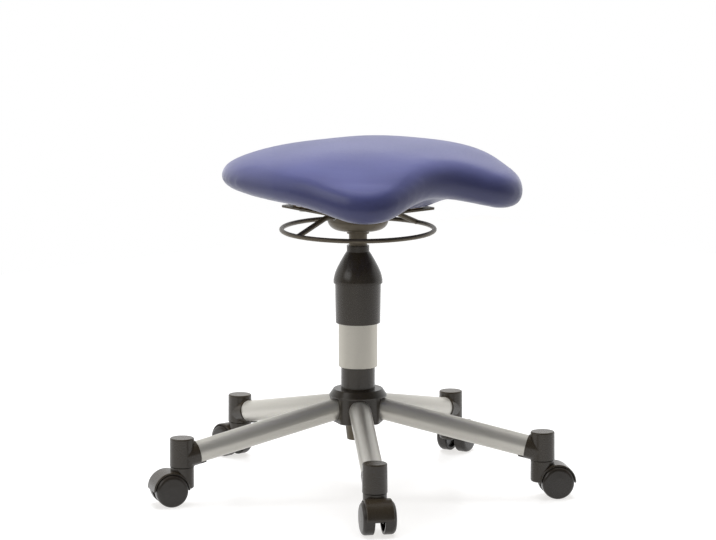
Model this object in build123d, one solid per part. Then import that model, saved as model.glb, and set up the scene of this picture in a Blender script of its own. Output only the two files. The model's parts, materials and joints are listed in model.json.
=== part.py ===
from build123d import *
import os
from math import cos, exp, pi, radians, sin, tan

# A swivel stool: five casters, a tube base, a gas lift under telescoping covers, a release ring
# and a padded saddle seat. Millimetres, +Z up, origin on the floor under the column's axis.
# The seat's front faces -Y. The lift is shown part way up its stroke.

# Clearances
FIXED_GAP = 0.05        # radial, between pieces that stay fixed to each other
RUNNING_GAP = 0.04      # radial, in a bearing or a sliding fit
SLEEVE_GAP = 0.3        # radial, between sleeves that slide past each other
FREE_GAP = 0.5          # between moving pieces that face each other

# Casters
WHEEL_D = 50.0
WHEEL_W = 18.5
WHEEL_SPACING = 15.5    # between the inner faces of a pair
WHEEL_HUB_R = 9.0
WHEEL_RIM_T = 4.5
WHEEL_RECESS = 5.0      # depth of the hollow in the inner face
WHEEL_SHOULDER = 6.0    # rounding of the tread's outer edge
WHEEL_EDGE_R = 1.2      # rounding of the tread's inner edge
WHEEL_DOME = 1.2        # how far the outer face swells from its rim to its middle
WHEEL_FACE_R = 8.0      # flat middle of the outer face
WHEEL_FACE_BLEND_R = 60.0
AXLE_D = 8.0
AXLE_BORE_DEPTH = 12.0
CASTER_TRAIL = 21.0     # from the swivel axis back to the axle
HOOD_W = 42.0
HOOD_WALL = 2.3
HOOD_EDGE_R = 2.0
WHEEL_ROOM = 1.2        # between the tread and the hood
CASTER_BOSS_R = 18.0
CASTER_BOSS_EDGE_R = 3.0
CASTER_BOSS_TOP_R = 1.0     # rounding of the boss's upper edge
AXLE_BOSS_R = 8.0
STEM_D = 11.0
STEM_FOOT_Z = 32.0
STEM_ENGAGEMENT = 29.0  # length of the stem inside its socket
STEM_SLEEVE_WALL = 1.0
CASTER_TURNS = (6.0, 22.0, 2.0, -1.0, -5.0)     # each caster's swing from its arm's direction

# Five-arm base
FIRST_ARM_ANGLE = -124.1
SOCKET_CIRCLE_R = 290.5
SOCKET_BASE_Z = 59.0
SOCKET_HEIGHT = 44.0
SOCKET_TOP_R = 18.5
SOCKET_DRAFT = 0.5
SOCKET_TOP_EDGE_R = 2.0
SOCKET_FOOT_EDGE_R = 0.5
SOCKET_NECK_LENGTH = 24.5   # from the socket's axis to the neck's end, along the floor
SOCKET_NECK_WALL = 1.75
SOCKET_NECK_EDGE_R = 1.2
SOCKET_TONGUE_LENGTH = 9.0  # strip under the tube that reaches beyond the neck
SOCKET_TONGUE_W = 14.0
ARM_TUBE_D = 34.0
ARM_TUBE_WALL = 2.0
ARM_SLOPE = 12.0
ARM_END_DROP = 29.5     # from the socket's top down to the tube's axis, at the socket's axis
ARM_SOCKET_MARGIN = 14.0    # from the socket's axis to the tube's outer end
ARM_SCREW_D = 4.0
ARM_SCREW_GRIP = 0.4        # how far the screw's end stands into the tube
HUB_TUBE_DEPTH = 7.0        # how far the tubes reach into the hub
HUB_WEB_T = 3.0             # wall between the inner ends of neighbouring tubes
HUB_FLOOR_T = 4.0           # wall under the tubes
HUB_ROOF_T = 0.9            # wall over the tubes
HUB_CORNER_R = 14.0
HUB_EDGE_R = 1.5
HUB_SPIGOT_WALL = 10.0
HUB_SPIGOT_HEIGHT = 2.5
HUB_CAP_HEIGHT = 12.0
HUB_CAP_RIM = 0.3           # how far the cap's foot stands out over the hub's corners
HUB_CAP_TAPER = 6.5         # how much narrower the cap's top is than its foot
HUB_CAP_SKIRT = 2.5
HUB_CAP_SKIRT_R = 1.5
HUB_CAP_EDGE_R = 1.5

# Column and gas spring
COLUMN_D = 50.0
COLUMN_WALL = 1.5
COLUMN_FOOT_D = 34.0
COLUMN_FOOT_DROP = 28.0     # how far the foot stands out under the hub
COLUMN_FLOOR_RECESS = 6.0
COLUMN_FLOOR_T = 4.0
COLUMN_RISE = 102.0         # above the hub's body
BUSH_LENGTH = 60.0
BUSH_FLANGE_T = 3.0
WASHER_R = 13.0
WASHER_T = 2.0
BALL_D = 4.0
BALL_COUNT = 8
BALL_CIRCLE_R = 10.0
BALL_GAP = 0.05
CAGE_T = 1.6
CAGE_HALF_WIDTH = 2.8
ROD_D = 10.0
ROD_END_D = 8.0
ROD_COLLAR_R = 9.0
ROD_COLLAR_T = 4.0
CLIP_R = 8.0
CLIP_T = 2.0
PISTON_T = 10.0
LIFT_RISE = 30.0            # how far the seat can still rise from where it is shown
LIFT_STOP_GAP = 1.0         # left between the piston and the rod guide at the top of the stroke
CYLINDER_D = 28.0
CYLINDER_WALL = 1.5
CYLINDER_LENGTH = 228.0
CYLINDER_HEAD_T = 12.0
ROD_GUIDE_LENGTH = 15.0
VALVE_STEM_D = 5.0
VALVE_STEM_LENGTH = 9.0
VALVE_BUTTON_R = 6.0
VALVE_BUTTON_T = 5.0
VALVE_RISE = 1.0            # free height under the button

# Telescoping covers
LOWER_COVER_WALL = 1.2
MIDDLE_COVER_D = 60.0
MIDDLE_COVER_WALL = 1.5
MIDDLE_COVER_BASE = 44.0    # above the hub's body
MIDDLE_COVER_LENGTH = 95.0
COVER_LIP_HEIGHT = 4.0
UPPER_COVER_BASE_R = 34.4
UPPER_COVER_TOP_R = 35.4
UPPER_COVER_WALL = 2.2
UPPER_COVER_LENGTH = 62.0   # straight part below the bell
BELL_LIP_R = 37.8
BELL_LIP_HEIGHT = 4.0
BELL_HEIGHT = 45.0
BELL_COLLAR_R = 17.3
BELL_COLLAR_HEIGHT = 9.0
BELL_FULLNESS = 0.62        # share of the bell's height at which it is half drawn in
BELL_FOOT_LEAN = 0.12       # inward lean of the bell's side at its foot
BELL_COLLAR_LEAN = 0.7      # inward lean of the bell's side at its collar
NECK_LENGTH = 19.0          # bare cylinder between the bell and the housing

# Seat mechanism
HOUSING_Z = 400.0           # underside of the housing with the lift as shown
HOUSING_COLLAR_R = 17.2
HOUSING_COLLAR_HEIGHT = 6.0
HOUSING_SOCKET_DEPTH = 18.0
HOUSING_BOWL_R = 47.0
HOUSING_BOWL_RISE = 16.0
HOUSING_TOP_R = 49.0
HOUSING_CAVITY_R = 30.0
REAR_PAN_R = 70.0
REAR_PAN_SETBACK = 50.0
REAR_PAN_DEPTH = 10.5
REAR_PAN_EDGE_R = 9.0
SHAFT_D = 8.0
SHAFT_BUSH_WALL = 2.0
SHAFT_GAP = 6.0             # between the shaft's two inner ends
CAM_LENGTH = 28.0
CAM_W = 16.0
CAM_TOP = 6.5               # above the shaft's axis
CAM_FOOT_T = 1.9            # below the shaft
CAM_GAP = 0.1               # from the cam's flat to the valve button
CAM_ROOM = 2.0              # between the cam and the seat plate
RING_R = 117.5
RING_WIRE_D = 7.0
RING_DROP = 24.0            # from the shaft's axis down to the ring
SPOKE_KNEE_R = 62.0
SPOKE_BEND_R = 12.0
PLATE_SIDE = 170.0
PLATE_T = 3.0
PLATE_CORNER_R = 6.0
HOUSING_SCREW_D = 6.0
HOUSING_SCREW_LENGTH = 14.0
SEAT_SCREW_D = 6.0
SEAT_SCREW_HALF_LENGTH = 45.0
SEAT_SCREW_HEAD_R = 5.5
SEAT_SCREW_HEAD_T = 3.5
TNUT_FLANGE_R = 8.0
TNUT_FLANGE_T = 1.5
TNUT_BARREL_WALL = 1.2

# Seat
BOARD_SETBACK = 3.5         # from the plate's edge in to the board's edge
BOARD_RIM = 1.0             # wood left outside the tee nuts
BOARD_T = 12.0
BOARD_CORNER_R = 35.0
BOARD_EDGE_R = 2.0
BOARD_MARGIN = 3.0          # foam and cover wrapped round the board's edge
FLAT_SQUARENESS = 5.0       # 2 makes the flat underside round, more makes it square
SEAT_HALF_WIDTH = 205.0
SEAT_FRONT = 197.0          # from the column's axis to the front edge between its lobes
SEAT_BACK = 176.5           # from the column's axis to the rear edge
SEAT_SQUARENESS = 2.7       # 2 makes the outline round, more makes it square
LOBE_ANGLE = 34.5           # from straight ahead to each of the two front lobes
LOBE_REACH = 41.0           # how far a lobe stands out
LOBE_DROOP = 19.5           # how far the edge dips at a lobe
LOBE_TIGHTNESS = 22.0       # more makes the lobes narrower
FRONT_ARCH = 17.5           # rise of the edge towards the front
FRONT_ARCH_TIGHTNESS = 2.0  # more makes that rise narrower
EDGE_HEIGHT = 49.0          # height of the edge's middle above the board's underside
EDGE_THICKNESS = 96.0       # twice the height over which the top or the underside rounds over
FRONT_SWELL = 7.0           # thicker at the front, and as much thinner at the back
CROWN_HEIGHT = 103.0        # top of the seat above the board's underside
CROWN_SHARE = 0.03          # share of the seat's reach taken by the flat spot on the crown
DOME_POWER = 2.7            # more keeps the top level for longer on its way out to the edge
FRONT_DIP = 18.0            # depth of the shallow hollow in the front of the top, before it fades
FRONT_DIP_TIGHTNESS = 11.5  # more makes that hollow narrower
FRONT_DIP_START = 3.0       # more starts that hollow further from the crown
FRONT_DIP_END = 4.0         # more ends it nearer to the edge
TOP_ROUNDING = 2.36         # exponent of the edge's curve above its middle, at the seat's sides
TOP_BLUNTNESS = 0.57        # how much blunter that curve is at the front, and sharper behind
UNDER_ROUNDING = 2.37       # exponent of the edge's curve below its middle, at the seat's sides
UNDER_BLUNTNESS = 1.28      # how much blunter that curve is at the front, and sharper behind
UNDER_RISE = 1.5            # more keeps the underside low for longer on its way out to the edge
UNDER_HOLLOW = 26.0         # how far the underside is hollowed between the board and the edge
UNDER_STEPS = (0.12, 0.3, 0.5, 0.7, 0.85, 0.94, 0.985)      # from the board out to the edge
TOP_STEPS = (0.995, 0.975, 0.94, 0.885, 0.81, 0.72, 0.61, 0.48, 0.33, 0.17)     # from the edge to the crown
OUTLINE_POINTS = 72

# Worked out from the sizes above
UPRIGHT = (Align.CENTER, Align.CENTER, Align.MIN)
ARM_COUNT = len(CASTER_TURNS)
WHEEL_R = WHEEL_D / 2
AXLE_R = AXLE_D / 2
STEM_R = STEM_D / 2
WEB_T = WHEEL_SPACING - 2 * FREE_GAP
SLEEVE_R = STEM_R + RUNNING_GAP + STEM_SLEEVE_WALL
TUBE_R = ARM_TUBE_D / 2
NECK_R = TUBE_R + FIXED_GAP + SOCKET_NECK_WALL
SLOPE = radians(ARM_SLOPE)
HALF_PITCH = pi / ARM_COUNT     # half the angle between two arms
ARM_END_Z = SOCKET_BASE_Z + SOCKET_HEIGHT - ARM_END_DROP
ARM_START_R = (TUBE_R + HUB_WEB_T / 2) / sin(HALF_PITCH)
ARM_STOP_R = SOCKET_CIRCLE_R - ARM_SOCKET_MARGIN
ARM_SCREW_R = ARM_START_R + HUB_TUBE_DEPTH / 2
HUB_R = ARM_START_R + HUB_TUBE_DEPTH
HUB_CORNER_REACH = HUB_CORNER_R + (HUB_R - HUB_CORNER_R) / cos(HALF_PITCH)
HUB_FACE_Z = ARM_END_Z + (SOCKET_CIRCLE_R - HUB_R) * tan(SLOPE)
HUB_BASE_Z = HUB_FACE_Z - TUBE_R / cos(SLOPE) - HUB_FLOOR_T
HUB_BODY_TOP_Z = HUB_FACE_Z + TUBE_R / cos(SLOPE) + HUB_ROOF_T
HUB_TOP_Z = HUB_BODY_TOP_Z + HUB_SPIGOT_HEIGHT
SLEEVE_LENGTH = STEM_ENGAGEMENT + FREE_GAP
COLUMN_R = COLUMN_D / 2
HUB_SPIGOT_R = COLUMN_R + FIXED_GAP + HUB_SPIGOT_WALL
COLUMN_FOOT_R = COLUMN_FOOT_D / 2
COLUMN_FOOT_Z = HUB_BASE_Z - COLUMN_FOOT_DROP
COLUMN_TOP_Z = HUB_TOP_Z + COLUMN_RISE
COLUMN_FLOOR_Z = COLUMN_FOOT_Z + COLUMN_FLOOR_RECESS
BEARING_Z = COLUMN_FLOOR_Z + COLUMN_FLOOR_T
BALL_Z = BEARING_Z + WASHER_T + BALL_D / 2 + BALL_GAP
UPPER_WASHER_Z = BEARING_Z + WASHER_T + BALL_D + 2 * BALL_GAP
ROD_R = ROD_D / 2
ROD_END_R = ROD_END_D / 2
COLLAR_Z = UPPER_WASHER_Z + WASHER_T
CYLINDER_R = CYLINDER_D / 2
BORE_R = CYLINDER_R - CYLINDER_WALL
CYLINDER_TOP_Z = HOUSING_Z + HOUSING_SOCKET_DEPTH
CYLINDER_Z = CYLINDER_TOP_Z - CYLINDER_LENGTH
PISTON_Z = CYLINDER_Z + ROD_GUIDE_LENGTH + LIFT_RISE + LIFT_STOP_GAP
LOWER_COVER_R = COLUMN_R + FIXED_GAP + LOWER_COVER_WALL
MIDDLE_COVER_R = MIDDLE_COVER_D / 2
BUTTON_Z = CYLINDER_TOP_Z + VALVE_RISE
SHAFT_R = SHAFT_D / 2
SHAFT_Z = BUTTON_Z + VALVE_BUTTON_T + CAM_GAP + CAM_FOOT_T + SHAFT_R
SHAFT_BUSH_R = SHAFT_R + RUNNING_GAP + SHAFT_BUSH_WALL
RING_Z = SHAFT_Z - RING_DROP
PLATE_Z = SHAFT_Z + CAM_TOP + CAM_ROOM
HOUSING_HEIGHT = PLATE_Z - HOUSING_Z
HOUSING_SCREW_R = (HOUSING_CAVITY_R + HOUSING_TOP_R) / 2
BOARD_Z = PLATE_Z + PLATE_T
BOARD_TOP_Z = BOARD_Z + BOARD_T
BOARD_HALF = PLATE_SIDE / 2 - BOARD_SETBACK
SEAT_SCREW_HALF_WIDTH = BOARD_HALF - TNUT_FLANGE_R - BOARD_RIM
TNUT_BARREL_R = SEAT_SCREW_D / 2 + FIXED_GAP + TNUT_BARREL_WALL


def rod(radius, length):
    """Upright cylinder standing on the origin."""
    return Cylinder(radius, length, align=UPRIGHT)


def pipe(outer, inner, length):
    """Upright hollow cylinder standing on the origin."""
    return rod(outer, length) - rod(inner, length)


def turned(*corners):
    """Solid turned about Z from (radius, height) corners; a third number rounds that corner."""
    points = [(corner[0], 0, corner[1]) for corner in corners]
    rounds = [corner[2] if len(corner) > 2 else 0 for corner in corners]
    outline = FilletPolyline(*points, radius=rounds, close=True)
    return revolve(make_face(outline.edges()), Axis.Z)


def save(shape, node):
    export_step(shape, f"parts/{node}.step")


def group(solids):
    return Compound(children=list(solids))


# Casters, each made with its swivel axis on Z and its trail along +X
def wheel():
    """Wheel lying on Z, its inner face at the origin and its closed outer face up."""
    rim_r = WHEEL_R - WHEEL_RIM_T
    bore_r = AXLE_R + RUNNING_GAP
    return turned(
        (bore_r, 0), (WHEEL_HUB_R, 0), (WHEEL_HUB_R, WHEEL_RECESS), (rim_r, WHEEL_RECESS),
        (rim_r, 0), (WHEEL_R, 0, WHEEL_EDGE_R), (WHEEL_R, WHEEL_W - WHEEL_DOME, WHEEL_SHOULDER),
        (WHEEL_FACE_R, WHEEL_W, WHEEL_FACE_BLEND_R), (0, WHEEL_W),
        (0, AXLE_BORE_DEPTH), (bore_r, AXLE_BORE_DEPTH))


def placed_wheel(side):
    """Wheel on its axle, on the +Y side for 1 and the -Y side for -1."""
    inner_face = (CASTER_TRAIL, side * WHEEL_SPACING / 2, WHEEL_R)
    return Plane(inner_face, x_dir=(1, 0, 0), z_dir=(0, side, 0)) * wheel()


def across(shape, length):
    """Turn an upright shape of this length so that it lies along Y, centred on the axle."""
    return Pos(CASTER_TRAIL, 0, WHEEL_R) * Rot(90, 0, 0) * Pos(0, 0, -length / 2) * shape


def caster_body():
    """Hood over both wheels, the web between them and the boss round the stem."""
    room_r = WHEEL_R + WHEEL_ROOM
    hood_r = room_r + HOOD_WALL
    boss_top = SOCKET_BASE_Z - FREE_GAP
    drum = turned((0, 0), (hood_r, 0, HOOD_EDGE_R), (hood_r, HOOD_W, HOOD_EDGE_R), (0, HOOD_W))
    lower_half = Pos(CASTER_TRAIL, 0, 0) * Box(3 * hood_r, 2 * HOOD_W, 2 * WHEEL_R)
    hood = across(drum, HOOD_W) - lower_half
    boss_height = boss_top - WHEEL_R
    boss = Pos(0, 0, WHEEL_R) * turned(
        (0, 0), (CASTER_BOSS_R, 0, CASTER_BOSS_EDGE_R), (CASTER_BOSS_R, boss_height, CASTER_BOSS_TOP_R),
        (0, boss_height))
    body = hood + boss
    for side in (-1, 1):
        web_face = (CASTER_TRAIL, side * WEB_T / 2, WHEEL_R)
        body -= Plane(web_face, x_dir=(1, 0, 0), z_dir=(0, side, 0)) * rod(room_r, HOOD_W)
    body += across(rod(AXLE_BOSS_R, WEB_T), WEB_T)
    body -= across(rod(AXLE_R + FIXED_GAP, 2 * HOOD_W), 2 * HOOD_W)
    body -= Pos(0, 0, STEM_FOOT_Z) * rod(STEM_R + FIXED_GAP, SOCKET_BASE_Z)
    return body


def caster_pins():
    """Stem and axle."""
    axle_length = WHEEL_SPACING + 2 * (AXLE_BORE_DEPTH - FREE_GAP)
    axle = across(rod(AXLE_R, axle_length), axle_length)
    stem = Pos(0, 0, STEM_FOOT_Z) * rod(STEM_R, SOCKET_BASE_Z + STEM_ENGAGEMENT - STEM_FOOT_Z)
    return [stem, axle]


# Base, each arm made along +X
def arm_height(radius):
    """Height of the arm's axis at this distance from the column."""
    return ARM_END_Z + (SOCKET_CIRCLE_R - radius) * tan(SLOPE)


def arm_plane(radius):
    """Plane across the arm's axis at this distance from the column, facing outwards and down."""
    return Plane((radius, 0, arm_height(radius)), x_dir=(0, 1, 0), z_dir=(cos(SLOPE), 0, -sin(SLOPE)))


def along_arm(start, end):
    return (end - start) / cos(SLOPE)


def arm_screw(radius):
    """Screw up through the hub's floor and the tube's wall."""
    end_z = arm_height(ARM_SCREW_R) - (TUBE_R - ARM_TUBE_WALL) / cos(SLOPE) + ARM_SCREW_GRIP
    return Pos(ARM_SCREW_R, 0, HUB_BASE_Z) * rod(radius, end_z - HUB_BASE_Z)


def arm_tube():
    length = along_arm(ARM_START_R, ARM_STOP_R)
    tube = arm_plane(ARM_START_R) * pipe(TUBE_R, TUBE_R - ARM_TUBE_WALL, length)
    return tube - arm_screw(ARM_SCREW_D / 2 + FIXED_GAP)


def socket_tongue(length):
    """Strip of the neck's wall that runs on under the tube, on Z with the neck's axis."""
    strip = Pos(0, -NECK_R, 0) * Box(SOCKET_TONGUE_W, NECK_R, length, align=UPRIGHT)
    return pipe(NECK_R, TUBE_R + FIXED_GAP, length) & strip


def end_socket():
    """Plastic end piece: an upright socket for the stem and a neck round the tube's end."""
    neck_start = SOCKET_CIRCLE_R - SOCKET_NECK_LENGTH
    neck_length = along_arm(neck_start, SOCKET_CIRCLE_R)
    foot_r = SOCKET_TOP_R + SOCKET_DRAFT
    barrel = Pos(SOCKET_CIRCLE_R, 0, SOCKET_BASE_Z) * turned(
        (0, 0), (foot_r, 0, SOCKET_FOOT_EDGE_R), (SOCKET_TOP_R, SOCKET_HEIGHT, SOCKET_TOP_EDGE_R),
        (0, SOCKET_HEIGHT))
    neck = arm_plane(neck_start) * turned(
        (0, 0), (NECK_R, 0, SOCKET_NECK_EDGE_R), (NECK_R, neck_length), (0, neck_length))
    below = Pos(SOCKET_CIRCLE_R, 0, 0) * Box(4 * NECK_R, 4 * NECK_R, 2 * SOCKET_BASE_Z)
    body = barrel + (neck - below)
    tongue_start = neck_start - SOCKET_TONGUE_LENGTH
    body += arm_plane(tongue_start) * socket_tongue(along_arm(tongue_start, ARM_STOP_R))
    body -= arm_plane(neck_start) * rod(TUBE_R + FIXED_GAP, along_arm(neck_start, ARM_STOP_R))
    body -= Pos(SOCKET_CIRCLE_R, 0, SOCKET_BASE_Z) * rod(SLEEVE_R + FIXED_GAP, SLEEVE_LENGTH)
    return body


def stem_sleeve():
    sleeve = pipe(SLEEVE_R, STEM_R + RUNNING_GAP, SLEEVE_LENGTH)
    return Pos(SOCKET_CIRCLE_R, 0, SOCKET_BASE_Z) * sleeve


def cone_r(height):
    """Radius of the column's tapered foot at this height."""
    share = (height - COLUMN_FOOT_Z) / (HUB_TOP_Z - COLUMN_FOOT_Z)
    return COLUMN_FOOT_R + share * (COLUMN_R - COLUMN_FOOT_R)


def hub(arm_places):
    """Block with a flat face for each tube, a tapered bore for the column and a spigot for the cap."""
    outline = RegularPolygon(HUB_R, ARM_COUNT, major_radius=False, rotation=180 / ARM_COUNT)
    outline = fillet(outline.vertices(), HUB_CORNER_R)
    block = extrude(outline, HUB_BODY_TOP_Z - HUB_BASE_Z)
    block = fillet(block.edges().group_by(Axis.Z)[0], HUB_EDGE_R)
    body = arm_places[0] * Pos(0, 0, HUB_BASE_Z) * block
    body += Pos(0, 0, HUB_BODY_TOP_Z) * rod(HUB_SPIGOT_R, HUB_SPIGOT_HEIGHT)
    body -= turned(
        (0, HUB_BASE_Z), (cone_r(HUB_BASE_Z) + FIXED_GAP, HUB_BASE_Z), (COLUMN_R + FIXED_GAP, HUB_TOP_Z),
        (0, HUB_TOP_Z))
    bore = arm_plane(ARM_START_R) * rod(TUBE_R + FIXED_GAP, 2 * HUB_R)
    for place in arm_places:
        body -= place * bore
        body -= place * arm_screw(ARM_SCREW_D / 2 + FIXED_GAP)
    return body


def hub_cap():
    """Tapered collar on the hub's spigot, round the foot of the lowest cover."""
    hole_r = LOWER_COVER_R + FIXED_GAP
    inner_r = HUB_SPIGOT_R + FIXED_GAP
    base_r = HUB_CORNER_REACH + HUB_CAP_RIM
    top_r = base_r - HUB_CAP_TAPER
    return Pos(0, 0, HUB_BODY_TOP_Z) * turned(
        (hole_r, HUB_SPIGOT_HEIGHT), (inner_r, HUB_SPIGOT_HEIGHT), (inner_r, 0), (base_r, 0),
        (base_r, HUB_CAP_SKIRT, HUB_CAP_SKIRT_R), (top_r, HUB_CAP_HEIGHT, HUB_CAP_EDGE_R),
        (hole_r, HUB_CAP_HEIGHT))


# Column and gas spring
def column_tube():
    hole_r = ROD_END_R + SLEEVE_GAP
    bore_r = COLUMN_R - COLUMN_WALL
    return turned(
        (hole_r, COLUMN_FLOOR_Z), (cone_r(COLUMN_FLOOR_Z) - COLUMN_WALL, COLUMN_FLOOR_Z),
        (COLUMN_FOOT_R - COLUMN_WALL, COLUMN_FOOT_Z), (COLUMN_FOOT_R, COLUMN_FOOT_Z),
        (COLUMN_R, HUB_TOP_Z), (COLUMN_R, COLUMN_TOP_Z), (bore_r, COLUMN_TOP_Z), (bore_r, HUB_TOP_Z),
        (cone_r(BEARING_Z) - COLUMN_WALL, BEARING_Z), (hole_r, BEARING_Z))


def guide_bush():
    outer_r = COLUMN_R - COLUMN_WALL - FIXED_GAP
    inner_r = CYLINDER_R + RUNNING_GAP
    return Pos(0, 0, COLUMN_TOP_Z) * turned(
        (inner_r, -BUSH_LENGTH), (outer_r, -BUSH_LENGTH), (outer_r, 0), (COLUMN_R, 0),
        (COLUMN_R, BUSH_FLANGE_T), (inner_r, BUSH_FLANGE_T))


def lower_washer():
    return Pos(0, 0, BEARING_Z) * pipe(WASHER_R, ROD_END_R + SLEEVE_GAP, WASHER_T)


def upper_washer():
    return Pos(0, 0, UPPER_WASHER_Z) * pipe(WASHER_R, ROD_END_R + FIXED_GAP, WASHER_T)


def ball_places():
    return PolarLocations(BALL_CIRCLE_R, BALL_COUNT)


def bearing_balls():
    return [Pos(0, 0, BALL_Z) * place * Sphere(BALL_D / 2) for place in ball_places()]


def ball_cage():
    cage = pipe(BALL_CIRCLE_R + CAGE_HALF_WIDTH, BALL_CIRCLE_R - CAGE_HALF_WIDTH, CAGE_T)
    for place in ball_places():
        cage -= place * rod(BALL_D / 2 + BALL_GAP, CAGE_T)
    return Pos(0, 0, BALL_Z - CAGE_T / 2) * cage


def piston_rod():
    end_z = COLUMN_FLOOR_Z - SLEEVE_GAP - 2 * CLIP_T
    return turned(
        (0, end_z), (ROD_END_R, end_z), (ROD_END_R, COLLAR_Z), (ROD_COLLAR_R, COLLAR_Z),
        (ROD_COLLAR_R, COLLAR_Z + ROD_COLLAR_T), (ROD_R, COLLAR_Z + ROD_COLLAR_T), (ROD_R, PISTON_Z),
        (ROD_END_R, PISTON_Z), (ROD_END_R, PISTON_Z + PISTON_T), (0, PISTON_Z + PISTON_T))


def piston():
    return Pos(0, 0, PISTON_Z) * pipe(BORE_R - RUNNING_GAP, ROD_END_R + FIXED_GAP, PISTON_T)


def rod_clip():
    clip = pipe(CLIP_R, ROD_END_R + FIXED_GAP, CLIP_T)
    return Pos(0, 0, COLUMN_FLOOR_Z - SLEEVE_GAP - CLIP_T) * clip


def gas_cylinder():
    head_z = CYLINDER_LENGTH - CYLINDER_HEAD_T
    valve_r = VALVE_STEM_D / 2 + RUNNING_GAP
    return Pos(0, 0, CYLINDER_Z) * turned(
        (BORE_R, 0), (CYLINDER_R, 0), (CYLINDER_R, CYLINDER_LENGTH), (valve_r, CYLINDER_LENGTH),
        (valve_r, head_z), (BORE_R, head_z))


def rod_guide():
    return Pos(0, 0, CYLINDER_Z) * pipe(BORE_R - FIXED_GAP, ROD_R + RUNNING_GAP, ROD_GUIDE_LENGTH)


def valve_button():
    stem = Pos(0, 0, BUTTON_Z - VALVE_STEM_LENGTH) * rod(VALVE_STEM_D / 2, VALVE_STEM_LENGTH)
    return stem + Pos(0, 0, BUTTON_Z) * rod(VALVE_BUTTON_R, VALVE_BUTTON_T)


# Telescoping covers
def lower_cover():
    return Pos(0, 0, HUB_TOP_Z) * pipe(LOWER_COVER_R, COLUMN_R + FIXED_GAP, COLUMN_RISE)


def middle_cover():
    """Bright sleeve; its foot has a lip that slides on the lower cover."""
    inner_r = MIDDLE_COVER_R - MIDDLE_COVER_WALL
    lip_r = LOWER_COVER_R + SLEEVE_GAP
    return Pos(0, 0, HUB_TOP_Z + MIDDLE_COVER_BASE) * turned(
        (lip_r, 0), (MIDDLE_COVER_R, 0, MIDDLE_COVER_WALL), (MIDDLE_COVER_R, MIDDLE_COVER_LENGTH),
        (inner_r, MIDDLE_COVER_LENGTH), (inner_r, COVER_LIP_HEIGHT), (lip_r, COVER_LIP_HEIGHT))


def bell_curve(base_r, base_z, top_r, top_z):
    """Shoulder of the bell: full at its foot, then drawn in to the collar."""
    middle_r = (base_r + top_r) / 2
    middle_z = base_z + BELL_FULLNESS * (top_z - base_z)
    return Spline(
        (base_r, 0, base_z), (middle_r, 0, middle_z), (top_r, 0, top_z),
        tangents=((-BELL_FOOT_LEAN, 0, 1), (-BELL_COLLAR_LEAN, 0, 1)))


def upper_cover():
    """Straight sleeve under a bell whose collar grips the gas cylinder."""
    collar_top = HOUSING_Z - NECK_LENGTH
    collar_z = collar_top - BELL_COLLAR_HEIGHT
    bell_z = collar_z - BELL_HEIGHT
    lip_z = bell_z - BELL_LIP_HEIGHT
    foot_z = lip_z - UPPER_COVER_LENGTH
    bore_r = CYLINDER_R + FIXED_GAP
    lip_r = MIDDLE_COVER_R + SLEEVE_GAP
    foot_r = UPPER_COVER_BASE_R - UPPER_COVER_WALL
    room_r = UPPER_COVER_TOP_R - UPPER_COVER_WALL
    outside = bell_curve(BELL_LIP_R, bell_z, BELL_COLLAR_R, collar_z)
    inside = bell_curve(room_r, bell_z, bore_r, collar_z - UPPER_COVER_WALL)
    rising = Polyline(
        (lip_r, 0, foot_z), (UPPER_COVER_BASE_R, 0, foot_z), (UPPER_COVER_TOP_R, 0, lip_z),
        (BELL_LIP_R, 0, lip_z), (BELL_LIP_R, 0, bell_z))
    collar = Polyline(
        (BELL_COLLAR_R, 0, collar_z), (BELL_COLLAR_R, 0, collar_top), (bore_r, 0, collar_top),
        (bore_r, 0, collar_z - UPPER_COVER_WALL))
    lip_top = foot_z + COVER_LIP_HEIGHT
    falling = Polyline((room_r, 0, bell_z), (foot_r, 0, lip_top), (lip_r, 0, lip_top), (lip_r, 0, foot_z))
    edges = rising.edges() + outside.edges() + collar.edges() + inside.edges() + falling.edges()
    return revolve(make_face(edges), Axis.Z)


# Seat mechanism
def housing_screw_places():
    return [Rot(0, 0, 45 + 90 * quarter) * Pos(HOUSING_SCREW_R, 0, 0) for quarter in range(4)]


def seat_screw_places():
    corners = [(x, y) for x in (-1, 1) for y in (-1, 1)]
    return [Pos(x * SEAT_SCREW_HALF_WIDTH, y * SEAT_SCREW_HALF_LENGTH, 0) for x, y in corners]


def housing_screw(gap=0.0):
    """Countersunk screw: its head lies flush in the seat plate."""
    radius = HOUSING_SCREW_D / 2 + gap
    shank = Pos(0, 0, BOARD_Z - HOUSING_SCREW_LENGTH) * rod(radius, HOUSING_SCREW_LENGTH)
    head = Pos(0, 0, PLATE_Z) * turned((0, 0), (radius, 0), (radius + PLATE_T, PLATE_T), (0, PLATE_T))
    return shank + head


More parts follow.
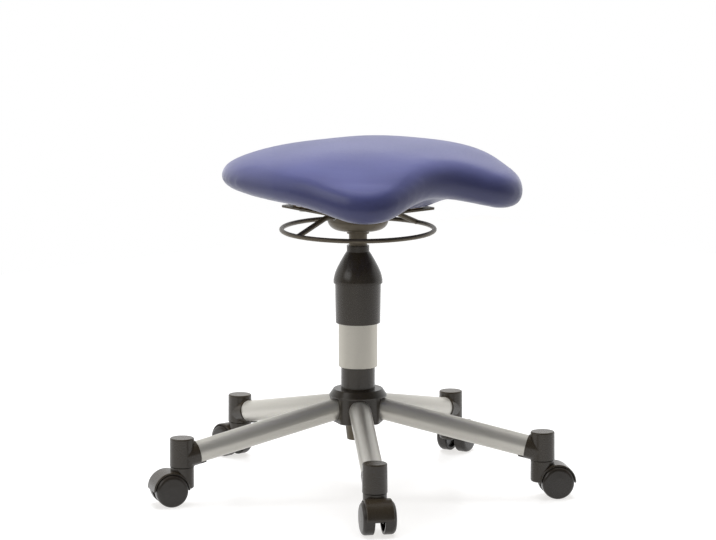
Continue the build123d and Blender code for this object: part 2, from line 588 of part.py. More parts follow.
def mechanism_housing():
    """Casting that grips the gas cylinder, with a round pan reaching back under the plate."""
    collar_top = HOUSING_COLLAR_HEIGHT
    bowl_top = collar_top + HOUSING_BOWL_RISE
    body = turned(
        (0, 0), (HOUSING_COLLAR_R, 0), (HOUSING_COLLAR_R, collar_top),
        (HOUSING_BOWL_R, collar_top, HOUSING_BOWL_RISE), (HOUSING_BOWL_R, bowl_top),
        (HOUSING_TOP_R, HOUSING_HEIGHT), (0, HOUSING_HEIGHT))
    pan = Pos(0, REAR_PAN_SETBACK, HOUSING_HEIGHT - REAR_PAN_DEPTH) * turned(
        (0, 0), (REAR_PAN_R, 0, REAR_PAN_EDGE_R), (REAR_PAN_R, REAR_PAN_DEPTH), (0, REAR_PAN_DEPTH))
    body += pan
    body -= rod(CYLINDER_R + FIXED_GAP, HOUSING_SOCKET_DEPTH)
    body -= Pos(0, 0, HOUSING_SOCKET_DEPTH) * rod(HOUSING_CAVITY_R, HOUSING_HEIGHT)
    shaft_line = Plane((-REAR_PAN_R, 0, SHAFT_Z - HOUSING_Z), x_dir=(0, 1, 0), z_dir=(1, 0, 0))
    body -= shaft_line * rod(SHAFT_BUSH_R + FIXED_GAP, 2 * REAR_PAN_R)
    body = Pos(0, 0, HOUSING_Z) * body
    for place in housing_screw_places():
        body -= place * housing_screw(FIXED_GAP)
    return body


def shaft_bushes():
    """Two plastic bushes that carry the release shaft in the housing's walls."""
    length = HOUSING_BOWL_R - HOUSING_CAVITY_R
    bush = pipe(SHAFT_BUSH_R, SHAFT_R + RUNNING_GAP, length)
    bushes = []
    for side in (-1, 1):
        inner_end = (side * HOUSING_CAVITY_R, 0, SHAFT_Z)
        bushes.append(Plane(inner_end, x_dir=(0, 1, 0), z_dir=(side, 0, 0)) * bush)
    return bushes


def release_spoke():
    """Half of the release shaft, bent down to the ring, on the +X side."""
    start = (SHAFT_GAP / 2, 0, SHAFT_Z)
    knee = (SPOKE_KNEE_R, 0, SHAFT_Z)
    route = FilletPolyline(start, knee, (RING_R, 0, RING_Z), radius=SPOKE_BEND_R)
    section = Plane(start, x_dir=(0, 1, 0), z_dir=(1, 0, 0)) * Circle(SHAFT_R)
    return sweep(section, path=route)


def release_ring():
    ring = Pos(0, 0, RING_Z) * Torus(RING_R, RING_WIRE_D / 2)
    spoke = release_spoke()
    return ring + spoke + Rot(0, 0, 180) * spoke


def release_cam():
    """Block on the shaft whose flat underside presses the valve button when the ring tilts."""
    flat_z = BUTTON_Z + VALVE_BUTTON_T + CAM_GAP
    height = SHAFT_Z + CAM_TOP - flat_z
    block = Pos(0, 0, flat_z) * Box(CAM_LENGTH, CAM_W, height, align=UPRIGHT)
    shaft_line = Plane((-CAM_LENGTH, 0, SHAFT_Z), x_dir=(0, 1, 0), z_dir=(1, 0, 0))
    return block - shaft_line * rod(SHAFT_R + FIXED_GAP, 2 * CAM_LENGTH)


def seat_plate():
    outline = RectangleRounded(PLATE_SIDE, PLATE_SIDE, PLATE_CORNER_R)
    plate = Pos(0, 0, PLATE_Z) * extrude(outline, PLATE_T)
    for place in seat_screw_places():
        plate -= place * Pos(0, 0, PLATE_Z) * rod(SEAT_SCREW_D / 2 + FIXED_GAP, PLATE_T)
    for place in housing_screw_places():
        plate -= place * housing_screw(FIXED_GAP)
    return plate


def seat_screw():
    head = Pos(0, 0, PLATE_Z - SEAT_SCREW_HEAD_T) * turned(
        (0, 0), (SEAT_SCREW_HEAD_R, 0, SEAT_SCREW_HEAD_T / 2), (SEAT_SCREW_HEAD_R, SEAT_SCREW_HEAD_T),
        (0, SEAT_SCREW_HEAD_T))
    return head + Pos(0, 0, PLATE_Z) * rod(SEAT_SCREW_D / 2, PLATE_T + BOARD_T - FREE_GAP)


def tee_nut():
    foot = FREE_GAP - BOARD_T
    bore_r = SEAT_SCREW_D / 2 + FIXED_GAP
    return Pos(0, 0, BOARD_TOP_Z - FIXED_GAP) * turned(
        (bore_r, 0), (TNUT_FLANGE_R, 0), (TNUT_FLANGE_R, -TNUT_FLANGE_T), (TNUT_BARREL_R, -TNUT_FLANGE_T),
        (TNUT_BARREL_R, foot), (bore_r, foot))


# Seat
def board_blank(gap):
    """Board before its holes are drilled, larger by a gap all round when it cuts its own pocket."""
    side = 2 * (BOARD_HALF + gap)
    return Pos(0, 0, BOARD_Z) * extrude(RectangleRounded(side, side, BOARD_CORNER_R + gap), BOARD_T)


def seat_board():
    board = fillet(board_blank(0).edges().group_by(Axis.Z)[0], BOARD_EDGE_R)
    recess = TNUT_FLANGE_T + 2 * FIXED_GAP
    for place in seat_screw_places():
        board -= place * Pos(0, 0, BOARD_Z) * rod(TNUT_BARREL_R + FIXED_GAP, BOARD_T)
        board -= place * Pos(0, 0, BOARD_TOP_Z - recess) * rod(TNUT_FLANGE_R + FIXED_GAP, recess)
    return board


def squared_reach(turn, half_width, half_depth, squareness):
    """Distance from the centre to a rounded rectangle's border, at this angle from the front."""
    sideways = (abs(sin(turn)) / half_width) ** squareness
    forwards = (abs(cos(turn)) / half_depth) ** squareness
    return (sideways + forwards) ** (-1 / squareness)


def swell(turn, middle, tightness):
    """1 at the middle angle, falling off smoothly to both sides of it."""
    return exp(tightness * (cos(turn - middle) - 1))


def lobe_share(turn):
    """1 at each of the two front lobes, near 0 between them and behind them."""
    lobe = radians(LOBE_ANGLE)
    return swell(turn, lobe, LOBE_TIGHTNESS) + swell(turn, -lobe, LOBE_TIGHTNESS)


def seat_reach(turn):
    """Distance from the column's axis to the seat's edge, at this angle from the front."""
    depth = SEAT_FRONT if cos(turn) > 0 else SEAT_BACK
    return squared_reach(turn, SEAT_HALF_WIDTH, depth, SEAT_SQUARENESS) + LOBE_REACH * lobe_share(turn)


def flat_reach(turn):
    """Distance from the column's axis to the border of the flat underside."""
    half = BOARD_HALF + BOARD_MARGIN
    return squared_reach(turn, half, half, FLAT_SQUARENESS)


def edge_height(turn):
    """Height of the middle of the seat's edge."""
    rise = FRONT_ARCH * swell(turn, 0, FRONT_ARCH_TIGHTNESS)
    return BOARD_Z + EDGE_HEIGHT + rise - LOBE_DROOP * lobe_share(turn)


def edge_half(turn):
    """Height over which the seat's top or its underside rounds over into the edge."""
    return (EDGE_THICKNESS + FRONT_SWELL * cos(turn)) / 2


def fullness(step, power):
    """How full the rounded edge still is: 1 well inside, 0 at the edge."""
    return (1 - step ** power) ** (1 / power)


def seat_ring(reach_at, height_at):
    """Closed curve round the seat, from its reach and height at each angle from the front."""
    points = []
    for step in range(OUTLINE_POINTS):
        turn = 2 * pi * step / OUTLINE_POINTS
        reach = reach_at(turn)
        points.append((reach * sin(turn), -reach * cos(turn), height_at(turn)))
    return Wire([Spline(*points, periodic=True).edge()])


def under_ring(step):
    """Ring of the hollowed underside, from 0 at the board to 1 at the edge."""
    hollow = 4 * UNDER_HOLLOW * step * (1 - step)

    def reach(turn):
        return flat_reach(turn) + step * (seat_reach(turn) - flat_reach(turn))

    def height(turn):
        middle = edge_height(turn)
        rim = middle - edge_half(turn)
        low = BOARD_Z + (rim - BOARD_Z) * step ** UNDER_RISE + hollow
        return middle - (middle - low) * fullness(step, UNDER_ROUNDING + UNDER_BLUNTNESS * cos(turn))
    return seat_ring(reach, height)


def front_dip(turn, share):
    """Depth of the hollow in the front of the top, which fades towards the crown and the edge."""
    fade = share ** FRONT_DIP_START * (1 - share ** FRONT_DIP_END)
    return FRONT_DIP * swell(turn, 0, FRONT_DIP_TIGHTNESS) * fade


def top_ring(share):
    """Ring of the domed top at this share of the seat's reach."""
    crown = BOARD_Z + CROWN_HEIGHT

    def reach(turn):
        return share * seat_reach(turn)

    def height(turn):
        half = edge_half(turn)
        dome = crown + share ** DOME_POWER * (edge_height(turn) + half - crown)
        rounded = half * (1 - fullness(share, TOP_ROUNDING + TOP_BLUNTNESS * cos(turn)))
        return dome - rounded - front_dip(turn, share)
    return seat_ring(reach, height)


def crown_ring():
    """Border of the small flat spot at the top of the seat."""
    return seat_ring(lambda turn: CROWN_SHARE * seat_reach(turn), lambda turn: BOARD_Z + CROWN_HEIGHT)


def seat_cushion():
    """Padded saddle seat, wrapped round the board: round behind, with two drooping lobes in front."""
    rings = [under_ring(step) for step in (0, *UNDER_STEPS)]
    rings += [seat_ring(seat_reach, edge_height)]
    rings += [top_ring(share) for share in TOP_STEPS]
    rings += [crown_ring()]
    return Solid.make_loft(rings, ruled=True) - board_blank(FIXED_GAP)


def main():
    os.makedirs("parts", exist_ok=True)
    arm_places = [Rot(0, 0, FIRST_ARM_ANGLE + 360 * arm / ARM_COUNT) for arm in range(ARM_COUNT)]
    save(hub(arm_places), "hub")
    save(hub_cap(), "hub_cap")
    save(group(place * arm_screw(ARM_SCREW_D / 2) for place in arm_places), "arm_screws")
    save(group(place * stem_sleeve() for place in arm_places), "stem_sleeves")
    for arm, place in enumerate(arm_places, start=1):
        caster_place = place * Pos(SOCKET_CIRCLE_R, 0, 0) * Rot(0, 0, CASTER_TURNS[arm - 1])
        save(place * arm_tube(), f"arm_tube_{arm}")
        save(place * end_socket(), f"end_socket_{arm}")
        save(caster_place * caster_body(), f"caster_body_{arm}")
        save(group(caster_place * pin for pin in caster_pins()), f"caster_pins_{arm}")
        save(caster_place * placed_wheel(1), f"wheel_left_{arm}")
        save(caster_place * placed_wheel(-1), f"wheel_right_{arm}")
    save(column_tube(), "column_tube")
    save(guide_bush(), "guide_bush")
    save(lower_washer(), "bearing_lower_washer")
    save(upper_washer(), "bearing_upper_washer")
    save(group(bearing_balls()), "bearing_balls")
    save(ball_cage(), "ball_cage")
    save(piston_rod(), "piston_rod")
    save(piston(), "piston")
    save(rod_clip(), "rod_clip")
    save(gas_cylinder(), "gas_cylinder")
    save(rod_guide(), "rod_guide")
    save(valve_button(), "valve_button")
    save(lower_cover(), "lower_cover")
    save(middle_cover(), "middle_cover")
    save(upper_cover(), "upper_cover")
    save(mechanism_housing(), "mechanism_housing")
    save(group(place * housing_screw() for place in housing_screw_places()), "housing_screws")
    save(group(shaft_bushes()), "shaft_bushes")
    save(release_ring(), "release_ring")
    save(release_cam(), "release_cam")
    save(seat_plate(), "seat_plate")
    save(group(place * seat_screw() for place in seat_screw_places()), "seat_screws")
    save(group(place * tee_nut() for place in seat_screw_places()), "tee_nuts")
    save(seat_board(), "seat_board")
    save(seat_cushion(), "seat_cushion")


main()
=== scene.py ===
# %% Load the stool's solids
import json
from math import atan2, cos, exp, hypot, pi, radians, sin

import bmesh
import bpy
from mathutils import Matrix, Vector
from mathutils.bvhtree import BVHTree


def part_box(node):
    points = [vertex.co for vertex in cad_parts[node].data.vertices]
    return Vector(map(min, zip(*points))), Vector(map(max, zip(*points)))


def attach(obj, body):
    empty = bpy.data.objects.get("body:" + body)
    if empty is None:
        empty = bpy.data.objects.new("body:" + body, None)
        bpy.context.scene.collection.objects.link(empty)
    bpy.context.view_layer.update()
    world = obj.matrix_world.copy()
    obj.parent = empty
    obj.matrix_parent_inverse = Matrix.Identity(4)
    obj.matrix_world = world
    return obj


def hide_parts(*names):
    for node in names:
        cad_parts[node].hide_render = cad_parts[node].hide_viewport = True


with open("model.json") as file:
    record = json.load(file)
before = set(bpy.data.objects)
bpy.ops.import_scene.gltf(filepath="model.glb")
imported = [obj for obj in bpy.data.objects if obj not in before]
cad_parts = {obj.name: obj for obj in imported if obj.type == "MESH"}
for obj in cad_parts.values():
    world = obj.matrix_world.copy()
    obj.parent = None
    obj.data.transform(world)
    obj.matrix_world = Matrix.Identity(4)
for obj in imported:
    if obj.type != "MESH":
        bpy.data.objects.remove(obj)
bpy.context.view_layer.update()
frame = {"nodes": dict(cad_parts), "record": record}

scene = bpy.context.scene
scene.view_settings.view_transform = "Standard"

# %% [markdown]
# # A swivel stool with a saddle seat
# The solids are already here, in metres, standing on the floor with the column on Z and the seat's
# front towards -Y. This lesson sets up the camera and the studio, gives every solid its finish, and
# then makes the soft seat and the small trim that a solid model leaves out.

# %% [markdown]
# ## Camera
# A long lens from far away keeps the stool's upright lines upright, as in a catalogue picture. The
# camera stands off the seat's front corner, a little above it, and looks down by under ten degrees.
# A wide lens from close by would frame the stool as well, but it would make the near caster look big.

# %% Camera off the front corner
CAMERA_DISTANCE = 5.5
CAMERA_HEIGHT = 1.2673
CAMERA_BEARING = -39.0
CAMERA_PITCH = 9.546
LENS_MM = 182.1
SENSOR_WIDTH_MM = 36.0


def add_camera():
    data = bpy.data.cameras.new("catalogue_camera")
    data.lens = LENS_MM
    data.sensor_width = SENSOR_WIDTH_MM
    camera = bpy.data.objects.new("catalogue_camera", data)
    turn = radians(CAMERA_BEARING)
    camera.location = (CAMERA_DISTANCE * sin(turn), -CAMERA_DISTANCE * cos(turn), CAMERA_HEIGHT)
    camera.rotation_euler = (radians(90.0 - CAMERA_PITCH), 0.0, turn)
    scene.collection.objects.link(camera)
    scene.camera = camera
    return camera


camera = add_camera()
print("camera at", [round(v, 3) for v in camera.location])

# %% [markdown]
# ## Floor
# The picture has no horizon: floor and background are the same white. The floor is a plain diffuse
# surface, topped up by a little emission that only the camera and mirror-like rays see, so it reads
# white where light falls on it and still shows the stool's soft shadow. More lamp light would whiten
# it too, but it would bleach the stool.

# %% A white floor
FLOOR_HALF = 2.0
FLOOR_PAINT = (0.44, 0.45, 0.47, 1.0)
FLOOR_GLOW = (0.8, 0.785, 0.765, 1.0)
FLOOR_SHINE = 0.1
FLOOR_SHINE_ROUGHNESS = 0.22


def largest(nodes, links, one, other):
    maximum = nodes.new("ShaderNodeMath")
    maximum.operation = "MAXIMUM"
    links.new(one, maximum.inputs[0])
    links.new(other, maximum.inputs[1])
    return maximum.outputs[0]


def seen_in_mirrors(nodes, links):
    """One for rays that a shiny or see-through surface sends on, nought for all others."""
    path = nodes.new("ShaderNodeLightPath")
    return largest(nodes, links, path.outputs["Is Glossy Ray"], path.outputs["Is Transmission Ray"])


def seen_directly(nodes, links):
    """One for camera rays and for those in mirrors, nought for light that bounces."""
    path = nodes.new("ShaderNodeLightPath")
    return largest(nodes, links, path.outputs["Is Camera Ray"], seen_in_mirrors(nodes, links))


def floor_finish():
    material = bpy.data.materials.new("white_floor")
    material.use_nodes = True
    nodes, links = material.node_tree.nodes, material.node_tree.links
    nodes.clear()
    paint = nodes.new("ShaderNodeBsdfDiffuse")
    paint.inputs["Color"].default_value = FLOOR_PAINT
    glow = nodes.new("ShaderNodeEmission")
    glow.inputs["Color"].default_value = FLOOR_GLOW
    links.new(seen_directly(nodes, links), glow.inputs["Strength"])
    both = nodes.new("ShaderNodeAddShader")
    links.new(paint.outputs[0], both.inputs[0])
    links.new(glow.outputs[0], both.inputs[1])
    shine = nodes.new("ShaderNodeBsdfGlossy")
    shine.inputs["Roughness"].default_value = FLOOR_SHINE_ROUGHNESS
    mix = nodes.new("ShaderNodeMixShader")
    mix.inputs["Fac"].default_value = FLOOR_SHINE
    links.new(both.outputs[0], mix.inputs[1])
    links.new(shine.outputs[0], mix.inputs[2])
    output = nodes.new("ShaderNodeOutputMaterial")
    links.new(mix.outputs[0], output.inputs["Surface"])
    return material


def add_floor():
    mesh = bpy.data.meshes.new("studio_floor")
    bm = bmesh.new()
    bmesh.ops.create_grid(bm, x_segments=1, y_segments=1, size=FLOOR_HALF)
    bm.to_mesh(mesh)
    bm.free()
    floor = bpy.data.objects.new("studio_floor", mesh)
    mesh.materials.append(floor_finish())
    scene.collection.objects.link(floor)
    return floor


floor = add_floor()
print(floor.name, "is", FLOOR_HALF * 2, "m square")

# %% [markdown]
# ## Room
# Beyond the floor's edge the world takes over, and it is white too. Shiny surfaces need something to
# mirror. A real studio is white behind the object, and dimmer above and on the near side, where the
# room is. The mirror-like rays see such a room, which gives the seat and the tubes their bright crests
# and keeps the dark plastics dark. As a lamp, the world is even and gentle. Walls and a ceiling could be
# modelled instead, but they would hide the stool when it is seen from other sides.

# %% A world that mirrors show as a room
WORLD_LIGHT = 0.16
WHITE_LEVEL = 1.0
NEAR_SIDE_LEVEL = 0.2
CEILING_LEVEL = 0.45
WALL_FADE = 0.35
CEILING_FADE_START = 0.3
CEILING_FADE_END = 0.7
FAR_SIDE = (-sin(radians(CAMERA_BEARING)), cos(radians(CAMERA_BEARING)), 0.0)


def fade(nodes, links, value, start, end, first, last):
    """Goes smoothly from the first level to the last as the value goes from start to end."""
    spread = nodes.new("ShaderNodeMapRange")
    spread.interpolation_type = "SMOOTHSTEP"
    spread.inputs["From Min"].default_value = start
    spread.inputs["From Max"].default_value = end
    spread.inputs["To Min"].default_value = first
    spread.inputs["To Max"].default_value = last
    links.new(value, spread.inputs["Value"])
    return spread.outputs["Result"]


def room_level(nodes, links):
    """Brightness in each direction: white on the far side, dim above and on the near side."""
    direction = nodes.new("ShaderNodeTexCoord").outputs["Generated"]
    parts = nodes.new("ShaderNodeSeparateXYZ")
    links.new(direction, parts.inputs["Vector"])
    towards = nodes.new("ShaderNodeVectorMath")
    towards.operation = "DOT_PRODUCT"
    towards.inputs[1].default_value = FAR_SIDE
    links.new(direction, towards.inputs[0])
    wall = fade(
        nodes, links, towards.outputs["Value"], start=-WALL_FADE, end=WALL_FADE,
        first=NEAR_SIDE_LEVEL, last=WHITE_LEVEL)
    ceiling = fade(
        nodes, links, parts.outputs["Z"], start=CEILING_FADE_START, end=CEILING_FADE_END,
        first=WHITE_LEVEL, last=CEILING_LEVEL)
    room = nodes.new("ShaderNodeMath")
    room.operation = "MULTIPLY"
    links.new(wall, room.inputs[0])
    links.new(ceiling, room.inputs[1])
    return room.outputs[0]


def add_world():
    world = bpy.data.worlds.new("white_studio")
    scene.world = world
    world.use_nodes = True
    nodes, links = world.node_tree.nodes, world.node_tree.links
    background = nodes["Background"]
    background.inputs["Color"].default_value = (1.0, 1.0, 1.0, 1.0)
    white = nodes.new("ShaderNodeMapRange")
    white.inputs["To Min"].default_value = WORLD_LIGHT
    white.inputs["To Max"].default_value = WHITE_LEVEL
    links.new(seen_directly(nodes, links), white.inputs["Value"])
    level = nodes.new("ShaderNodeMapRange")
    links.new(white.outputs["Result"], level.inputs["To Min"])
    links.new(room_level(nodes, links), level.inputs["To Max"])
    links.new(seen_in_mirrors(nodes, links), level.inputs["Value"])
    links.new(level.outputs["Result"], background.inputs["Strength"])
    return world


world = add_world()
print("world:", world.name)

# %% [markdown]
# ## Lamps
# Two big soft boxes do the work: one overhead, which lights the seat's top and leaves its sides to
# darken towards the floor, and a weaker one to the left, on the camera's side of the stool, which draws
# a streak of light along the tubes and keeps the near sides from going black. Small lamps would do it
# with hard shadows. The overhead box is left out of the reflections, because the room's ceiling already
# stands for it there.

# %% Soft boxes
LAMP_AIM = (0.0, 0.0, 0.45)
OVERHEAD_PLACE = (0.25, 0.35, 2.5)
OVERHEAD_SIZE = 2.0
OVERHEAD_WATTS = 88.0
LEFT_PLACE = (-2.6, 0.3, 1.9)
LEFT_SIZE = 1.8
LEFT_WATTS = 18.0


def add_soft_box(name, place, size, watts):
    data = bpy.data.lights.new(name, "AREA")
    data.shape = "SQUARE"
    data.size = size
    data.energy = watts
    lamp = bpy.data.objects.new(name, data)
    lamp.location = place
    lamp.rotation_euler = (Vector(LAMP_AIM) - Vector(place)).to_track_quat("-Z", "Y").to_euler()
    scene.collection.objects.link(lamp)
    return lamp


overhead = add_soft_box("overhead_box", OVERHEAD_PLACE, OVERHEAD_SIZE, OVERHEAD_WATTS)
overhead.visible_glossy = False
add_soft_box("camera_side_box", LEFT_PLACE, LEFT_SIZE, LEFT_WATTS)

# %% [markdown]
# ## Tools for finishes
# Every finish below starts from the same shader. What makes each one different is a pattern for the
# colour, one for how rough it is and one for its small relief. These helpers make those patterns
# from noise in the object's own coordinates, so nothing slides when the stool moves.

# %% Patterns
PEBBLE_ROUNDNESS = 0.6


def start_finish(name):
    """A material with its Principled shader and the object's coordinates."""
    material = bpy.data.materials.new(name)
    material.use_nodes = True
    nodes, links = material.node_tree.nodes, material.node_tree.links
    place = nodes.new("ShaderNodeTexCoord").outputs["Object"]
    return material, nodes, links, nodes["Principled BSDF"], place


def noise(nodes, links, place, scale, detail, stretch=(1.0, 1.0, 1.0)):
    """Cloudy noise; stretch squeezes it along an axis to draw grain or brushing."""
    mapping = nodes.new("ShaderNodeMapping")
    mapping.inputs["Scale"].default_value = stretch
    links.new(place, mapping.inputs["Vector"])
    clouds = nodes.new("ShaderNodeTexNoise")
    clouds.inputs["Scale"].default_value = scale
    clouds.inputs["Detail"].default_value = detail
    links.new(mapping.outputs["Vector"], clouds.inputs["Vector"])
    return clouds.outputs["Fac"]


def pebbles(nodes, links, place, scale):
    """Small rounded cells like the grain pressed into leatherette: their distance from each centre."""
    cells = nodes.new("ShaderNodeTexVoronoi")
    cells.feature = "SMOOTH_F1"
    cells.inputs["Scale"].default_value = scale
    cells.inputs["Smoothness"].default_value = PEBBLE_ROUNDNESS
    links.new(place, cells.inputs["Vector"])
    return cells.outputs["Distance"]


# %% [markdown]
# Noise keeps mostly to the middle of its range from nought to one. So colour and roughness are spread
# over that middle part alone, and their ends are reached.

# %% From a pattern to colour, roughness and relief
COLOUR_LOW = 0.35
COLOUR_HIGH = 0.65
LEVEL_LOW = 0.3
LEVEL_HIGH = 0.7


def colour_from(nodes, links, value, dark, light):
    """Blend from dark to light over the middle of the pattern's range."""
    ramp = nodes.new("ShaderNodeValToRGB")
    ramp.color_ramp.elements[0].position = COLOUR_LOW
    ramp.color_ramp.elements[0].color = (*dark, 1.0)
    ramp.color_ramp.elements[1].position = COLOUR_HIGH
    ramp.color_ramp.elements[1].color = (*light, 1.0)
    links.new(value, ramp.inputs["Fac"])
    return ramp.outputs["Color"]


def level_from(nodes, links, value, low, high):
    """The pattern's value spread between two levels."""
    spread = nodes.new("ShaderNodeMapRange")
    spread.inputs["From Min"].default_value = LEVEL_LOW
    spread.inputs["From Max"].default_value = LEVEL_HIGH
    spread.inputs["To Min"].default_value = low
    spread.inputs["To Max"].default_value = high
    links.new(value, spread.inputs["Value"])
    return spread.outputs["Result"]


def relief(nodes, links, shader, heights, depth, strength):
    """Small bumps from a pattern, this deep in metres."""
    bump = nodes.new("ShaderNodeBump")
    bump.inputs["Strength"].default_value = strength
    bump.inputs["Distance"].default_value = depth
    links.new(heights, bump.inputs["Height"])
    links.new(bump.outputs["Normal"], shader.inputs["Normal"])


# %% [markdown]
# ## Plastics
# The hub, the dark sleeves and the casters are a moulded plastic with the fine texture of a
# spark-eroded mould, and the hidden bushes are a pale one. A fine noise stands for that grit in the
# roughness and in the relief, because it is far too small to be worth modelling.

# %% Moulded plastics
SMOOTHER_BY = 0.06
ROUGHER_BY = 0.08


def moulded_plastic(name, dark, light, rough):
    material, nodes, links, shader, place = start_finish(name)
    cloud = noise(nodes, links, place, scale=18.0, detail=4.0)
    grit = noise(nodes, links, place, scale=1400.0, detail=2.0)
    links.new(colour_from(nodes, links, cloud, dark, light), shader.inputs["Base Color"])
    roughness = level_from(nodes, links, grit, low=rough - SMOOTHER_BY, high=rough + ROUGHER_BY)
    links.new(roughness, shader.inputs["Roughness"])
    relief(nodes, links, shader, grit, depth=0.0001, strength=0.15)
    return material


dark_plastic = moulded_plastic(
    "dark_plastic", dark=(0.043, 0.033, 0.021), light=(0.054, 0.042, 0.028), rough=0.24)
wheel_plastic = moulded_plastic(
    "wheel_plastic", dark=(0.027, 0.021, 0.015), light=(0.035, 0.0275, 0.02), rough=0.28)
bearing_plastic = moulded_plastic(
    "bearing_plastic", dark=(0.58, 0.56, 0.5), light=(0.66, 0.64, 0.58), rough=0.5)
print("plastics:", dark_plastic.name, wheel_plastic.name, bearing_plastic.name)

# %% [markdown]
# ## Silver paint
# The arms and the middle sleeve are sprayed silver: a paint whose metal flakes twinkle a little, over
# the faint orange peel of any sprayed coat. The arms get a lighter copy of that silver with fewer flakes,
# as painted light: it keeps them pale where they mirror the dim side of the room.

# %% Silver for the sleeve, and a lighter copy for the arms as painted light
FLAKE_SPREAD = 0.05


def silver_paint(name, dark, light, rough, metallic):
    material, nodes, links, shader, place = start_finish(name)
    flakes = noise(nodes, links, place, scale=2600.0, detail=1.0)
    peel = noise(nodes, links, place, scale=320.0, detail=2.0)
    links.new(colour_from(nodes, links, flakes, dark, light), shader.inputs["Base Color"])
    roughness = level_from(nodes, links, flakes, low=rough - FLAKE_SPREAD, high=rough + FLAKE_SPREAD)
    links.new(roughness, shader.inputs["Roughness"])
    shader.inputs["Metallic"].default_value = metallic
    relief(nodes, links, shader, peel, depth=0.00008, strength=0.25)
    return material


silver = silver_paint(
    "silver_sleeve", dark=(0.48, 0.455, 0.4), light=(0.6, 0.575, 0.51), rough=0.43, metallic=0.85)
# The arms' silver is the sleeve's paint made lighter and less metallic: painted light, not a different
# coat.
painted_light_arm_silver = silver_paint(
    "silver_arms_painted_light", dark=(0.66, 0.635, 0.575), light=(0.76, 0.735, 0.67), rough=0.36, metallic=0.5)
print("silvers:", silver.name, painted_light_arm_silver.name)

# %% [markdown]
# ## Enamel and steel
# The ring, plate, casting and gas cylinder are a brown-black enamel, with the peel of a thick coat. Pins,
# screws and bearing parts are bare steel. Its brushing is noise squeezed along one axis, a simple way
# that needs no UV map.


# %% Enamel and bare steel
def dark_enamel():
    material, nodes, links, shader, place = start_finish("dark_enamel")
    cloud = noise(nodes, links, place, scale=30.0, detail=3.0)
    peel = noise(nodes, links, place, scale=420.0, detail=2.0)
    brown = colour_from(nodes, links, cloud, dark=(0.115, 0.092, 0.058), light=(0.145, 0.118, 0.077))
    links.new(brown, shader.inputs["Base Color"])
    links.new(level_from(nodes, links, peel, low=0.32, high=0.46), shader.inputs["Roughness"])
    shader.inputs["Metallic"].default_value = 0.3
    relief(nodes, links, shader, peel, depth=0.0001, strength=0.3)
    return material


def bright_steel():
    material, nodes, links, shader, place = start_finish("bright_steel")
    brushing = noise(nodes, links, place, scale=260.0, detail=3.0, stretch=(1.0, 1.0, 14.0))
    grey = colour_from(nodes, links, brushing, dark=(0.5, 0.5, 0.49), light=(0.64, 0.64, 0.63))
    links.new(grey, shader.inputs["Base Color"])
    links.new(level_from(nodes, links, brushing, low=0.22, high=0.38), shader.inputs["Roughness"])
    shader.inputs["Metallic"].default_value = 1.0
    relief(nodes, links, shader, brushing, depth=0.00004, strength=0.3)
    return material


enamel = dark_enamel()
steel = bright_steel()
print("metals:", enamel.name, steel.name)

# %% [markdown]
# ## Plywood and leatherette
# The seat board is plywood: thin layers whose grain runs crosswise, one over the other, which a wave
# along Z draws as stripes on its edge. The cover is leatherette: smooth, with a fine pebbled grain, a
# slightly uneven dye and a soft sheen where light grazes it.

# %% Board and cover
LAYER_SHARE = 0.35


def plywood():
    material, nodes, links, shader, place = start_finish("plywood")
    layers = nodes.new("ShaderNodeTexWave")
    layers.bands_direction = "Z"
    layers.inputs["Scale"].default_value = 80.0
    layers.inputs["Distortion"].default_value = 0.3
    links.new(place, layers.inputs["Vector"])
    grain = noise(nodes, links, place, scale=60.0, detail=5.0, stretch=(1.0, 9.0, 1.0))
    mix = nodes.new("ShaderNodeMath")
    mix.operation = "MULTIPLY_ADD"
    mix.inputs[1].default_value = LAYER_SHARE
    links.new(layers.outputs["Fac"], mix.inputs[0])
    links.new(grain, mix.inputs[2])
    wood = colour_from(nodes, links, mix.outputs[0], dark=(0.3, 0.19, 0.1), light=(0.52, 0.37, 0.22))
    links.new(wood, shader.inputs["Base Color"])
    shader.inputs["Roughness"].default_value = 0.7
    relief(nodes, links, shader, grain, depth=0.0003, strength=0.3)
    return material


def leatherette():
    material, nodes, links, shader, place = start_finish("leatherette")
    dye = noise(nodes, links, place, scale=11.0, detail=4.0)
    grain = pebbles(nodes, links, place, scale=640.0)
    blue = colour_from(nodes, links, dye, dark=(0.063, 0.069, 0.195), light=(0.076, 0.083, 0.226))
    links.new(blue, shader.inputs["Base Color"])
    links.new(level_from(nodes, links, grain, low=0.3, high=0.42), shader.inputs["Roughness"])
    shader.inputs["Specular IOR Level"].default_value = 0.5
    shader.inputs["Sheen Weight"].default_value = 0.5
    shader.inputs["Sheen Roughness"].default_value = 0.4
    shader.inputs["Sheen Tint"].default_value = (0.8, 0.8, 0.9, 1.0)
    relief(nodes, links, shader, grain, depth=0.0003, strength=0.35)
    return material


ply = plywood()
cover = leatherette()
print("seat finishes:", ply.name, cover.name)

# %% [markdown]
# ## Dress the solids
# The record names a material slot for every solid. One table from slot to finish is enough to dress
# them all; the meshes themselves stay as they are. The arms share a slot with the sleeve, so they get
# their lighter copy of the silver afterwards: painted light, brighter than the sleeve's own coat.

# %% One finish for each slot
FINISHES = {
    "seat_leatherette": cover, "ply_board": ply, "dark_metal": enamel, "silver_metal": silver,
    "dark_plastic": dark_plastic, "wheel_plastic": wheel_plastic, "bright_steel": steel,
    "bearing_plastic": bearing_plastic}


def dress(node, finish):
    for slot in frame["nodes"][node].material_slots:
        slot.material = finish


for subpart in frame["record"]["subparts"]:
    dress(subpart["node"], FINISHES[subpart["material_slot"]])
# The arms get the lighter silver, which is painted light.
for node in frame["nodes"]:
    if node.startswith("arm_tube"):
        dress(node, painted_light_arm_silver)

